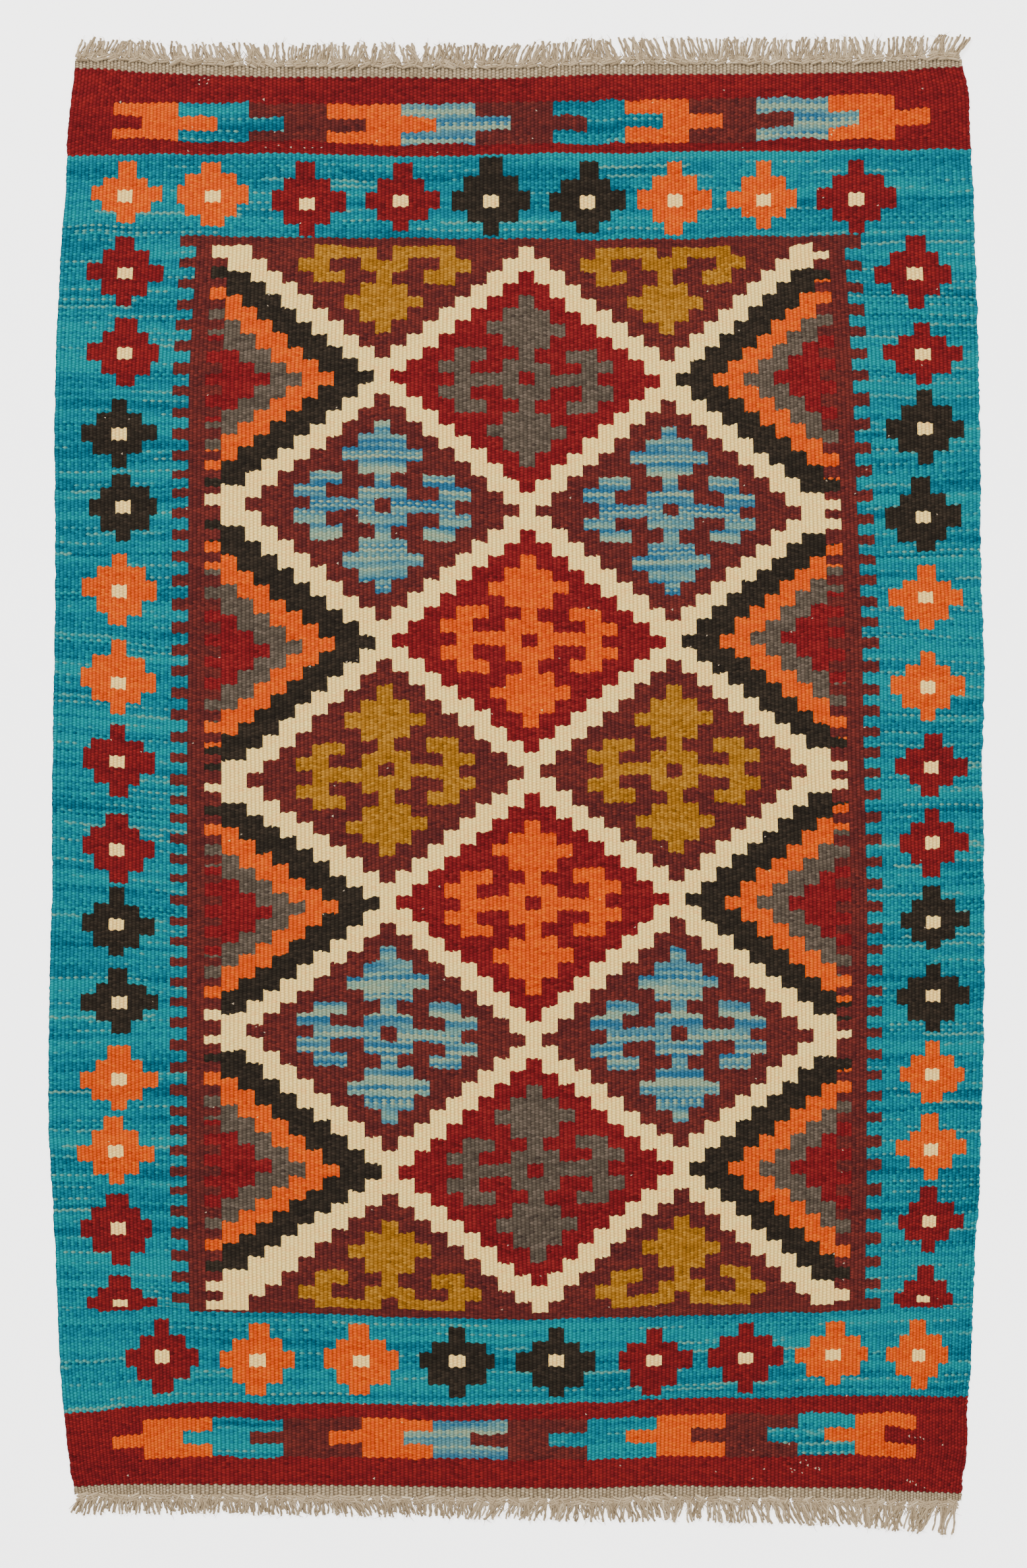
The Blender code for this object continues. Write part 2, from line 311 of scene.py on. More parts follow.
def field_yarn(rib, pick):
    """The lattice of diamonds and the chevrons beside it."""
    steps = (rib + 0.5 - MIDDLE) / STEP
    column = np.floor(steps + 0.5).astype(int)
    stray = np.rint(ROW_STRAY * smooth_noise(ROW_NOISE, rib.shape)).astype(int)

    def row_of(pick):
        return np.floor(1 + (pick + stray - ROW_ONE) / ROW_PICKS).astype(int)

    def from_tips(row):
        return np.min(np.abs(row[..., None] - CHEVRON_TIPS), axis=-1)

    row = row_of(pick)
    lower_left = -steps - from_tips(row) > EARLY_START
    row = np.where(lower_left, row_of(pick + np.interp(pick, *EARLY_PICKS)), row)
    phase = (row - 1) % (2 * DIAMOND_ROWS)
    reach = np.minimum(phase, 2 * DIAMOND_ROWS - phase)
    near = np.abs((column + HALF_DIAMOND) % (2 * HALF_DIAMOND) - HALF_DIAMOND)

    yarn = np.where(near < reach, MADDER, AUBERGINE)
    for centre, motif in RED_DIAMOND_MOTIFS.items():
        yarn[in_motif(column, row - centre)] = motif
    for centre, motif in AUBERGINE_DIAMOND_MOTIFS.items():
        for beside in (-HALF_DIAMOND, HALF_DIAMOND):
            yarn[in_motif(column - beside, row - centre)] = motif
    yarn[(near <= reach) & (near >= reach - 1)] = CREAM

    beyond = np.abs(steps) - from_tips(row)
    previous = CHEVRON_START
    for limit, colour in CHEVRONS:
        yarn[(beyond > previous) & (beyond <= limit)] = colour
        previous = limit
    outer = np.abs(steps) > LATTICE_SIDES[0]
    side = outer & (np.abs(steps) <= LATTICE_SIDES[1])
    yarn[side & (reach <= 1)] = CREAM
    yarn[outer & ((row == 1) | (row == ROWS))] = CREAM
    yarn[side & ((row == 2) | (row == ROWS - 1))] = CREAM
    yarn[(row < 1) | (row > ROWS)] = AUBERGINE
    yarn[side & (steps < 0) & (row == ROWS + 1) & (pick < LEFT_CORNER_END)] = CREAM
    return yarn


COUNTED = 5  # notches
# The pick where every fifth notch of a comb begins.
COMB_NOTCHES = {
    "left": (128.5, 209.5, 298, 373, 453.5, 536.5, 610, 695, 780.5, 854, 934.5),
    "right": (131, 219.5, 306, 392, 476.5, 554.5, 638.5, 719, 798.5, 891.5, 974),
}
NOTCH_SHARE = 0.53  # of the way from one notch to the next
RIGHT_COMB_END = 933  # the pick where the right comb's last notch ends
# The cream fingers where the lattice meets a comb, and the picks of the gap they stand in.
VERTICES = {
    "left": records(
        "first last fingers",
        (120, 145, ((128, 138),)),
        (320, 345, ((326, 335),)),
        (525, 549, ((535, 541),)),
        (706, 750, ((715, 724), (736, 742))),
        (912, 948, ((918, 925), (932, 945))),
    ),
    "right": records(
        "first last fingers",
        (120, 149, ((134, 140),)),
        (317, 355, ((322, 329), (336, 345))),
        (519, 556, ((526, 533), (540, 547))),
        (722, 746, ((730, 736),)),
        (918, 948, ((925, 934),)),
    ),
}


def comb(rib, pick, yarn):
    """The two combs between the field and the side borders."""
    for sign, tip, side in ((-1, LEFT_FIELD, "left"), (1, RIGHT_FIELD, "right")):
        reach = sign * (rib + 0.5 - MIDDLE)
        notches = COMB_NOTCHES[side]
        finger = np.interp(pick, notches, COUNTED * np.arange(len(notches))) % 1 >= NOTCH_SHARE
        finger |= pick < notches[0]
        finger |= (pick >= RIGHT_COMB_END) & (sign > 0)
        part = np.ceil((tip - reach) / STEP)  # 1 the outer fingers, 2 the spine, 3 the inner ones
        inner = part == 3
        yarn[inner & finger] = AUBERGINE
        for vertex in VERTICES[side]:
            yarn[inner & (pick >= vertex.first) & (pick < vertex.last)] = AUBERGINE
            for start, stop in vertex.fingers:
                yarn[inner & (pick >= start) & (pick < stop)] = CREAM
        yarn[part == 2] = AUBERGINE
        yarn[part == 1] = np.where(finger[part == 1], AUBERGINE, TURQUOISE)
        yarn[part < 1] = TURQUOISE
    return yarn


# The small crosses, by their middles and how many picks they rise above it and fall below it.
CROSSES = records(
    "rib pick rise fall yarn",
    # the top row
    (16, 89, 25, 21, ORANGE), (39, 90, 27, 23, ORANGE), (63, 94, 31, 25, RED),
    (87, 91, 29, 24, RED), (110, 92, 31, 26, BLACK), (135, 93, 30, 23, BLACK),
    (158, 92, 28, 25, ORANGE), (182, 93, 29, 22, ORANGE), (206, 94, 29, 26, RED),
    # the left side
    (17, 150, 29, 27, RED), (18, 212, 28, 27, RED), (17, 276, 27, 26, BLACK),
    (18, 333, 24, 26, BLACK), (17, 394, 27, 25, ORANGE), (17, 462, 32, 25, ORANGE),
    (17, 522, 27, 28, RED), (17, 589, 27, 25, RED), (17, 647, 28, 27, BLACK),
    (18, 709, 26, 25, BLACK), (18, 768, 24, 23, ORANGE), (17, 823, 26, 25, ORANGE),
    (17, 880, 25, 27, RED), (17, 938, 22, 25, RED),
    # the right side
    (220, 151, 28, 28, RED), (221, 214, 25, 24, RED), (221, 271, 28, 26, BLACK),
    (220, 338, 30, 27, BLACK), (220, 401, 25, 26, ORANGE), (220, 470, 27, 24, ORANGE),
    (221, 530, 25, 23, RED), (221, 587, 25, 26, RED), (221, 647, 27, 22, BLACK),
    (221, 704, 24, 27, BLACK), (221, 763, 24, 22, ORANGE), (221, 820, 26, 24, ORANGE),
    (221, 875, 25, 24, RED), (220, 936, 27, 25, RED),
    # the bottom row
    (28, 980, 24, 26, RED), (51, 982, 26, 25, ORANGE), (76, 981, 27, 26, ORANGE),
    (99, 981, 26, 27, BLACK), (123, 980, 25, 30, BLACK), (148, 982, 26, 30, RED),
    (172, 982, 27, 28, RED), (195, 982, 26, 25, ORANGE), (219, 983, 25, 25, ORANGE),
)

# The blocks of the end bands: the rib where each starts, and how many ribs its tongue, in its
# middle part, runs over the block beside it.
BLOCK_NOISE = {1: Noise(17, (40, 90)), -1: Noise(15, (40, 90))}
BLOCK_STRAY = 1.2
TOP_PARTS = (18, 28, 38, 47)  # picks that bound the three parts of a block
BOTTOM_PARTS = (1026, 1036, 1046, 1056)
TOP_BLOCKS = records(
    "start tongue yarn",
    (12, 10, ORANGE), (30, 9, TURQUOISE), (48, 10, AUBERGINE), (68, 9, ORANGE),
    (87, 9, LIGHT_BLUE), (106, 9, AUBERGINE), (126, 10, TURQUOISE), (145, 9, ORANGE),
    (162, 10, AUBERGINE), (180, 8, LIGHT_BLUE), (199, 9, ORANGE), (216, 8, RED),
)
BOTTOM_BLOCKS = records(
    "start tongue yarn",
    (22, 9, ORANGE), (40, 7, TURQUOISE), (57, 8, AUBERGINE), (76, 8, ORANGE),
    (93, 7, LIGHT_BLUE), (111, 9, AUBERGINE), (131, 10, TURQUOISE), (149, 8, ORANGE),
    (167, 9, AUBERGINE), (186, 8, TURQUOISE), (201, 8, ORANGE), (219, 10, RED),
)


def blocks(rib, pick, yarn, row, parts, side):
    """One row of blocks, whose tongues point to the right (side 1) or the left (side -1)."""
    pick = pick + np.rint(BLOCK_STRAY * smooth_noise(BLOCK_NOISE[side], rib.shape)).astype(int)
    tall = (pick >= parts[0]) & (pick < parts[3])
    middle = (pick >= parts[1]) & (pick < parts[2])

    def tongue(root, length):
        low, high = sorted((root, root + side * length))
        return middle & (rib >= low) & (rib < high)

    for block, after in zip(row, row[1:]):
        yarn[tall & (rib >= block.start) & (rib < after.start)] = block.yarn
    for block, after in zip(row, row[1:]):
        root = after.start if side > 0 else block.start
        yarn[tongue(root, block.tongue)] = block.yarn
    root = row[0].start if side > 0 else row[-1].start
    yarn[tongue(root, row[-1].tongue)] = RED


def chart(rib, pick):
    """The yarn of each bead, for arrays of ribs and picks."""
    yarn = comb(rib, pick, field_yarn(rib, pick))
    yarn[(pick < FIELD) | (pick >= FIELD_END)] = TURQUOISE
    yarn[(pick < TOP_TURQUOISE) | (pick >= BOTTOM_RED)] = RED

    rng = np.random.default_rng(CROSS_SEED)
    for cross in CROSSES:
        across, along = rib + 0.5 - cross.rib, pick - cross.pick
        same_side = (pick < FIELD_END) == (cross.pick < FIELD_END)
        edges = rng.choice(CROSS_EDGES, len(CROSS_ROWS) + 1)
        for number, (first, last, arms) in enumerate(CROSS_ROWS):
            left, right = STEP * (arms + 0.5) + rng.choice(ARM_ENDS[arms], 2)
            wide = (across > -left) & (across < right)
            first, last = (
                round(share * (cross.fall if share > 0 else cross.rise)) for share in (first, last)
            )
            tall = (along >= first + edges[number]) & (along < last + edges[number + 1])
            yarn[wide & tall & same_side] = cross.yarn
        tilt, width, height = rng.uniform(*HEARTS)
        heart = (np.abs(across - tilt * along) < width) & (np.abs(along) < height)
        yarn[heart] = CREAM

    blocks(rib, pick, yarn, TOP_BLOCKS, TOP_PARTS, 1)
    blocks(rib, pick, yarn, BOTTOM_BLOCKS, BOTTOM_PARTS, -1)
    yarn[(pick < 0) | (pick >= PICKS)] = UNDYED
    return yarn


# ---- unevenness of the yarn

TONE_SEED = 5
BEAD_SPREAD = 0.32  # of each bead, from its yarn's middle tone
PICK_SPREAD = 0.22  # of each weft, along its whole length
PATCH_SPREAD = 0.30  # of wide patches of one dye bath
EVEN_SHARE = 0.5  # of this wide unevenness, in the evenly dyed yarns
UNEVEN_SHARE = 1.6  # in the turquoise and the light blue
PATCHES = (Noise(7, (5, 90)), Noise(8, (9, 200)))
TURQUOISE_BEADS = 0.8  # share of the spread
PALEST = 0.5
PALEST_TURQUOISE = 0.6

# Pale wefts in the turquoise: the picks and ribs they lie between, and the picks between them.
BAND_STREAKS = records(
    "seed picks ribs gaps",
    (20, (TOP_TURQUOISE, FIELD), (0, RIBS), (4, 14)),
    (30, (FIELD_END, BOTTOM_RED), (0, RIBS), (4, 14)),
    (40, (20, 47), (0, RIBS), (4, 12)),
    (50, (1027, 1055), (0, RIBS), (4, 12)),
)
SIDE_STREAKS = records(
    "seed picks ribs gaps",
    (60, (FIELD, FIELD_END), (0, LEFT_BORDER + STEP), (3, 12)),
    (61, (FIELD, FIELD_END), (RIBS - RIGHT_BORDER - STEP, RIBS), (3, 12)),
)
BAND_SETS = 6
STREAK_STARTS = (12, 6)  # between so many ribs before the area and before its end
STREAK_RIBS = (8, 44)
STREAK_PICKS = (1, 1, 2)
STREAK_TONES = (0.55, 0.95)
STREAK_SPREAD = 0.12

FLECK_SEED = 77
FLECK_SHARE = 0.0016
EDGE_SHARE = 0.012  # where one colour ends on the next
CLUSTERS = records(
    "rib pick wide tall share",
    (38, 4, 3, 2, 0.7), (60, 52, 8, 1, 0.35), (188, 1065, 4, 3, 0.35),
    (189, 1060, 4, 3, 0.12), (174, 1066, 12, 1, 0.2), (216, 1073, 7, 3, 0.16),
    (219, 1040, 4, 3, 0.12),
)

SPIN_SEED = 91
SPIN_PICKS = (1, 4)
SPIN_TONES = (-0.95, -0.5, -0.1, 0.3, 0.6, 0.95)
SPIN_NOISE = Noise(92, (30, 260))
SPIN_SHARES = (0.5, 0.9, 0.6)  # of the beads' own tone, the turns and the noise
CREAM_SHARE = 0.6


def streaks(kind, seed, tone, turquoise):
    """One set of pale wefts, each over a part of the width."""
    rng = np.random.default_rng(seed)
    picks, ribs = kind.picks, kind.ribs
    at = picks[0] + rng.integers(*kind.gaps)
    while at < picks[1]:
        start = rng.integers(*(rib - before for rib, before in zip(ribs, STREAK_STARTS)))
        stop = start + rng.integers(*STREAK_RIBS)
        thick = rng.choice(STREAK_PICKS)
        across = slice(max(ribs[0], start), min(ribs[1], stop))
        area = (across, slice(at, min(at + thick, picks[1])))
        pale = rng.uniform(*STREAK_TONES) + rng.normal(0, STREAK_SPREAD, tone[area].shape)
        tone[area] = np.where(turquoise[area], np.clip(pale, 0, 1), tone[area])
        at += rng.integers(*kind.gaps)


def tones(yarn):
    """The tone of each bead, from -1 to 1."""
    rng = np.random.default_rng(TONE_SEED)
    turquoise = yarn == TURQUOISE
    wide = rng.normal(0, PICK_SPREAD, (1, PICKS))
    for patches in PATCHES:
        wide = wide + PATCH_SPREAD * smooth_noise(patches, yarn.shape)
    beads = rng.normal(0, BEAD_SPREAD, yarn.shape) * np.where(turquoise, TURQUOISE_BEADS, 1.0)
    uneven = turquoise | (yarn == LIGHT_BLUE)
    tone = beads + np.where(uneven, UNEVEN_SHARE, EVEN_SHARE) * wide
    tone = np.clip(tone, -1, np.where(turquoise, PALEST_TURQUOISE, PALEST))
    for number in range(BAND_SETS):
        for kind in BAND_STREAKS:
            streaks(kind, kind.seed + number, tone, turquoise)
    for kind in SIDE_STREAKS:
        streaks(kind, kind.seed, tone, turquoise)
    return tone


def flecks(yarn):
    """Where the pale warp or a pale fibre shows between two beads."""
    rng = np.random.default_rng(FLECK_SEED)
    pale = rng.random(yarn.shape) < FLECK_SHARE
    pale |= (yarn != np.roll(yarn, 1, axis=1)) & (rng.random(yarn.shape) < EDGE_SHARE)
    pale &= np.isin(yarn, (RED, AUBERGINE, BLACK, MADDER, ORANGE))
    for rib, pick, wide, tall, share in CLUSTERS:
        area = (slice(rib - wide, rib + wide), slice(max(pick - tall, 0), pick + tall))
        pale[area] |= rng.random(pale[area].shape) < share
    return pale


def stripe_light_blue(yarn, tone):
    """The light blue yarn is spun in turns of blue and of pale green."""
    rng = np.random.default_rng(SPIN_SEED)
    stripe = np.zeros(PICKS)
    at = 0
    while at < PICKS:
        stop = at + rng.integers(*SPIN_PICKS)
        stripe[at:stop] = rng.choice(SPIN_TONES)
        at = stop
    own, turns, drift = SPIN_SHARES
    turns = turns * stripe[None] + drift * smooth_noise(SPIN_NOISE, yarn.shape)
    striped = yarn == LIGHT_BLUE
    tone[striped] = np.clip(own * tone + turns, -1, 1)[striped]


# ---- beads into meshes

Weave = namedtuple("Weave", "points triangles yarn tone bead crown")
Cloth = namedtuple("Cloth", "yarns tone pale")
FAN = 5  # triangles of a bead, without the one on the rib beside it
FLECK_TURN = (7, 3)
MARGIN = 2 * HEADING_PICKS  # picks of noise beyond each end


def height_of(rib, pick, depth):
    """Height of the cloth's top face above the floor, less the depth of a groove or valley."""
    across = (rib - RIBS / 2) * RIB_PITCH
    along = pick * PICK_PITCH
    first, second = SWELL_WAVES
    waves = np.sin(across / first[0] + along / first[1])
    waves = waves + np.sin(along / second[1] - across / second[0] + SWELL_PHASE)
    return CROWN_HEIGHT - SWELL / 2 + SWELL * waves / 4 - depth


def weave(first, last, chosen, crown_height=CROWN_HEIGHT, relief=1.0):
    """The beads of the picks from first up to last, as points and triangles."""
    picks = np.arange(first - 1, last + 1)
    rng = np.random.default_rng(WEAVE_SEED)
    shape = (RIBS + 1, PICKS + 2 * MARGIN)
    height_noise = rng.uniform(-1, 1, shape)
    side_noise = rng.uniform(-1, 1, shape)
    wander = smooth_noise(ACROSS_NOISE, shape)
    stray = WANDER * smooth_noise(ALONG_NOISE, shape)
    stray = stray + FINE_WANDER * smooth_noise(FINE_NOISE, shape)
    column = np.arange(shape[1])
    from_end = np.minimum(column - MARGIN, PICKS + MARGIN - column)
    stray = stray * np.clip(from_end / STRAIGHT_PICKS, LEAST_WANDER, 1)
    height_noise, side_noise, wander, stray = (
        whole[:, picks + MARGIN] for whole in (height_noise, side_noise, wander, stray)
    )

    def strayed(rib, pick, by):
        """Across and along of points of the weave, moved by chance."""
        across, along = place(rib, pick)
        n = len(across)
        across = across + by.wander * wander[:n] + by.across * side_noise[:n]
        return across, along + stray[:n] + by.along * height_noise[:n]

    rib, pick = grid(np.arange(RIBS), picks)
    on_bead = (rib + pick) % 2 == 0
    across, along = strayed(rib + 0.5, pick + 0.5, CROWN_STRAY)
    depth = relief * np.where(on_bead, 0.0, VALLEY) + CROWN_STRAY.down * (height_noise[:RIBS] + 1)
    height = height_of(rib, pick, depth) + crown_height - CROWN_HEIGHT
    crowns = np.stack([across, along, height], -1)
    # The crown attribute is painted light: full on a bead, a little in a valley, none in a groove,
    # for painted shade.
    crown_painted_light = np.where(on_bead, 1.0, VALLEY_PAINTED_LIGHT)

    line, pick = grid(np.arange(RIBS + 1), picks)
    across, along = strayed(line, pick + 0.5, GROOVE_STRAY)
    depth = relief * GROOVE + GROOVE_STRAY.down * height_noise
    height = height_of(line, pick, depth) + crown_height - CROWN_HEIGHT
    selvedge = (line == 0) | (line == RIBS)
    height = np.where(selvedge, SELVEDGE_HEIGHT + SELVEDGE_STRAY.down * height_noise, height)
    outwards = np.where(line == 0, -1, 1)
    turn = SELVEDGE_STRAY.across * side_noise + SELVEDGE_STRAY.wander * wander + SELVEDGE_TURN
    across = np.where(selvedge, across + outwards * turn, across)
    grooves = np.stack([across, along, height], -1)

    crown_index = np.arange(on_bead.size).reshape(on_bead.shape)
    groove_index = on_bead.size + np.arange(line.size).reshape(line.shape)
    points = np.concatenate([crowns.reshape(-1, 3), grooves.reshape(-1, 3)])
    share = np.concatenate([crown_painted_light.ravel(), np.zeros(groove_index.size)])

    # Beads, also those of a rib before the first one, of which only the last triangle is there.
    rib, pick = grid(np.arange(-1, RIBS), np.arange(first, last))
    beads = (rib + pick) % 2 == 0
    rib, pick = rib[beads], pick[beads]
    col = pick - first + 1
    whole = rib >= 0
    tail = rib < RIBS - 1
    r, c = rib[whole], col[whole]
    crown = crown_index[r, c]
    left = groove_index[r, c]
    low = crown_index[r, c + 1]
    high = crown_index[r, c - 1]
    right_low = groove_index[r + 1, c + 1]
    right_high = groove_index[r + 1, c - 1]
    round_crown = (left, low, right_low, right_high, high, left)
    fan = [(crown, *pair) for pair in zip(round_crown, round_crown[1:])]
    there, c = rib[tail] + 1, col[tail]
    tails = (groove_index[there, c + 1], crown_index[there, c], groove_index[there, c - 1])
    triangles = np.concatenate([np.stack(f, -1) for f in fan] + [np.stack(tails, -1)])

    def of_beads(fan, tails):
        return np.concatenate([fan] * FAN + [tails])

    bead = of_beads(np.arange(r.size), r.size + np.arange(tail.sum()))
    # A tail lies on the next rib, so where the colour changes there it takes that rib's yarn.
    here = np.maximum(rib[tail], 0)
    at = np.clip(pick[tail], 0, PICKS - 1)
    changes = chosen.yarns[here, at] != chosen.yarns[there, at]
    own_rib = of_beads(r, np.where(changes, there, here))
    own_pick = of_beads(pick[whole], pick[tail])
    at = np.clip(own_pick, 0, PICKS - 1)
    heading = (own_pick < 0) | (own_pick >= PICKS)
    yarn = np.where(heading, UNDYED, chosen.yarns[own_rib, at])
    tone = chosen.tone[own_rib, at]
    # A fleck is one triangle of its bead.
    part = np.repeat(np.arange(FAN + 1), [r.size] * FAN + [int(tail.sum())])
    turn = (own_rib * FLECK_TURN[0] + own_pick * FLECK_TURN[1]) % FAN
    fleck = chosen.pale[own_rib, at] & (turn == part) & ~heading
    tone = np.where(fleck, 1.0, tone)

    used, triangles = np.unique(triangles, return_inverse=True)
    triangles = triangles.reshape(-1, 3)
    return Weave(points[used], triangles, yarn, tone, bead, share[used])


def closed(points, triangles):
    """Walls from the border down to the floor, and one flat face under the cloth."""
    edges = np.concatenate([triangles[:, [0, 1]], triangles[:, [1, 2]], triangles[:, [2, 0]]])
    codes, back = edges @ (len(points), 1), edges @ (1, len(points))
    border = edges[~np.isin(codes, back)]
    follow = dict(border.tolist())
    start = border[0, 0]
    loop = [start]
    while follow[loop[-1]] != start:
        loop.append(follow[loop[-1]])
    loop = np.array(loop)
    floor = points[loop].copy()
    floor[:, 2] = 0
    floor[:, 0] -= np.sign(floor[:, 0]) * FLOOR_INSET * (np.abs(floor[:, 0]) > SIDE_START)
    below = len(points) + np.arange(len(loop))
    after, below_after = np.roll(loop, -1), np.roll(below, -1)
    walls = np.stack([after, loop, below, below_after], -1)
    return np.concatenate([points, floor]), walls, below[::-1]


# ---- materials

TONE_STOPS = (0.0, 0.45, 0.8, 1.0)  # where the colours of a dye stand among its tones
FIBRE_SCALE = (300, 2600, 900)  # stretched along the wefts
FIBRE_SHADES = ((0.3, 0.8), (0.7, 1.12))
# Painted shade in the grooves and valleys between beads: its tint, and its stops along the crown
# attribute.
PAINTED_SHADE_TINT = (1, 0.94, 0.9)
PAINTED_SHADE_STOPS = (0.0, 0.22, 0.5)  # painted shade: up to where the painted light is full
WOOL = {"Roughness": 0.92, "Specular IOR Level": 0.07, "Sheen Weight": 0.03, "Sheen Roughness": 0.5}


def linear(colour):
    """A colour of 0 to 255 as Blender's linear one."""
    parts = [c / 255 for c in colour]
    return [c / 12.92 if c <= 0.04045 else ((c + 0.055) / 1.055) ** 2.4 for c in parts] + [1.0]


class Nodes:
    """Short calls for the nodes of one material."""

    def __init__(self, name):
        self.material = bpy.data.materials.new(name)
        self.material.use_nodes = True
        self.tree = self.material.node_tree

    def put(self, node, inputs):
        for key, value in inputs.items():
            if isinstance(value, bpy.types.NodeSocket):
                self.tree.links.new(value, node.inputs[key])
            else:
                node.inputs[key].default_value = value

    def add(self, kind, inputs=(), **settings):
        node = self.tree.nodes.new("ShaderNode" + kind)
        for name, value in settings.items():
            setattr(node, name, value)
        self.put(node, dict(inputs))
        return node

    def surface(self, inputs):
        self.put(self.tree.nodes["Principled BSDF"], inputs)

    def ramp(self, factor, stops):
        node = self.add("ValToRGB", {"Fac": factor})
        elements = node.color_ramp.elements
        while len(elements) < len(stops):
            elements.new(0.5)
        for element, (position, colour) in zip(elements, stops):
            element.position = position
            element.color = colour
        return node.outputs["Color"]

    def multiply(self, a, b):
        inputs = {0: 1.0, 6: a, 7: b}
        return self.add("Mix", inputs, data_type="RGBA", blend_type="MULTIPLY").outputs[2]


def grey(share):
    return (share, share, share, 1)


def yarn_material(name):
    dye = DYES[name]
    nodes = Nodes("wool_" + name)
    tone = nodes.add("Attribute", attribute_name="tone").outputs["Fac"]
    share = nodes.add("Math", {0: tone, 1: 0.5, 2: 0.5}, operation="MULTIPLY_ADD").outputs[0]
    colour = nodes.ramp(share, [(at, linear(value)) for at, value in zip(TONE_STOPS, dye)])
    place = nodes.add("TexCoord").outputs["Object"]
    along_yarn = nodes.add("Mapping", {"Vector": place, "Scale": FIBRE_SCALE}).outputs[0]
    fibres = nodes.add("TexNoise", {"Vector": along_yarn, "Scale": 1.0, "Detail": 1.0})
    shades = [(at, grey(shade)) for at, shade in FIBRE_SHADES]
    colour = nodes.multiply(colour, nodes.ramp(fibres.outputs["Fac"], shades))
    # Painted shade: the crown attribute darkens the colour in the grooves and valleys, where shade
    # falls.
    crown = nodes.add("Attribute", attribute_name="crown").outputs["Fac"]
    groove = [dye.groove * tint for tint in PAINTED_SHADE_TINT] + [1]
    lights = zip(PAINTED_SHADE_STOPS, (groove, grey(0.5 + 0.5 * dye.groove), grey(1)))
    colour = nodes.multiply(colour, nodes.ramp(crown, list(lights)))
    nodes.surface({"Base Color": colour, **WOOL})
    nodes.material.diffuse_color = linear(dye.middle)
    return nodes.material


# ---- pieces

panel_low, panel_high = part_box("woven_panel")
outline_middle = (
    (min(row.left for row in SELVEDGES) + max(row.right for row in SELVEDGES)) / 2,
    (END_EDGES[-1].bottom + END_EDGES[-1].top) / 2,
)
SHIFT = [(panel_low[i] + panel_high[i]) / 2 / MM - outline_middle[i] for i in (0, 1)]


def placed(name, data):
    obj = bpy.data.objects.new(name, data)
    bpy.context.scene.collection.objects.link(obj)
    return obj


def mesh_object(name, points, faces, materials, material_index, smooth_group, tone, crown):
    """An object of faces with any number of corners. Edges between smooth groups are sharp."""
    mesh = bpy.data.meshes.new(name)
    points = np.asarray(points, float).copy()
    points[:, :2] += SHIFT
    sizes = np.concatenate([np.full(len(f), f.shape[1]) for f in faces])
    corners = np.concatenate([f.ravel() for f in faces])
    mesh.vertices.add(len(points))
    mesh.vertices.foreach_set("co", (points * MM).ravel())
    mesh.loops.add(len(corners))
    mesh.loops.foreach_set("vertex_index", corners.astype(np.int32))
    mesh.polygons.add(len(sizes))
    starts = np.concatenate([[0], np.cumsum(sizes)[:-1]])
    mesh.polygons.foreach_set("loop_start", starts.astype(np.int32))
    mesh.update(calc_edges=True)
    for material in materials:
        mesh.materials.append(material)
    mesh.polygons.foreach_set("material_index", np.asarray(material_index, np.int32))

    edge = np.empty(len(corners), np.int32)
    mesh.loops.foreach_get("edge_index", edge)
    group = np.repeat(smooth_group, sizes)
    lowest = np.full(len(mesh.edges), len(sizes) + len(corners))
    highest = np.full(len(mesh.edges), -1)
    np.minimum.at(lowest, edge, group)
    np.maximum.at(highest, edge, group)
    sharp = mesh.attributes.new("sharp_edge", "BOOLEAN", "EDGE")
    sharp.data.foreach_set("value", lowest != highest)

    mesh.attributes.new("tone", "FLOAT", "FACE").data.foreach_set("value", tone)
    # crown: the share of painted light at each point, for the painted shade in grooves and creases.
    mesh.attributes.new("crown", "FLOAT", "POINT").data.foreach_set("value", crown)
    size = np.ptp(points[:, :2], axis=0).max()
    flat = (points[:, :2] - points[:, :2].min(axis=0)) / size
    layer = mesh.uv_layers.new(name="OFBake")
    layer.data.foreach_set("uv", flat[corners].ravel())
    return placed(name, mesh)


def cloth_object(name, cloth):
    points, walls, floor = closed(cloth.points, cloth.triangles)
    count, extra = len(cloth.triangles), len(walls) + 1
    return mesh_object(
        name,
        points,
        [cloth.triangles, walls, floor[None]],
        materials,
        np.concatenate([cloth.yarn, np.full(extra, cloth.yarn[0])]),
        np.concatenate([cloth.bead, cloth.bead.max() + 1 + np.arange(extra)]),
        np.concatenate([cloth.tone, np.zeros(extra)]),
        np.concatenate([cloth.crown, np.full(len(floor), UNDERSIDE_PAINTED_LIGHT)]),
    )


materials = [yarn_material(name) for name in DYES]
yarns = chart(*grid(np.arange(RIBS), np.arange(PICKS)))
tone = tones(yarns)
stripe_light_blue(yarns, tone)
tone[yarns == CREAM] *= CREAM_SHARE
chosen = Cloth(yarns, tone, flecks(yarns))

for number, (first, last) in enumerate(zip(PANEL_CUTS, PANEL_CUTS[1:])):
    piece = cloth_object(f"panel_weave_{number + 1}", weave(first, last, chosen))
    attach(piece, "root")
    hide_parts("woven_panel")

# ---- fringe

KNOTS = 84
KNOT_SIDES = 6
STRAND_SIDES = 5
HAIR_SIDES = 3
FRINGE_SEEDS = {"top": 301, "bottom": 302}
ROW_INSET = 3  # of the row of knots
KNOT_STRAY = 0.13  # of the way to the next knot
KNOT_SIZES = (-0.14, 0.16)
SWAY = 0.22
SWAY_LENGTHS = (60, 31)
TWIST = 6.5  # millimetres for one turn of the two plies
PLY_DEPTH = 0.42  # how much thinner a strand is between its two plies

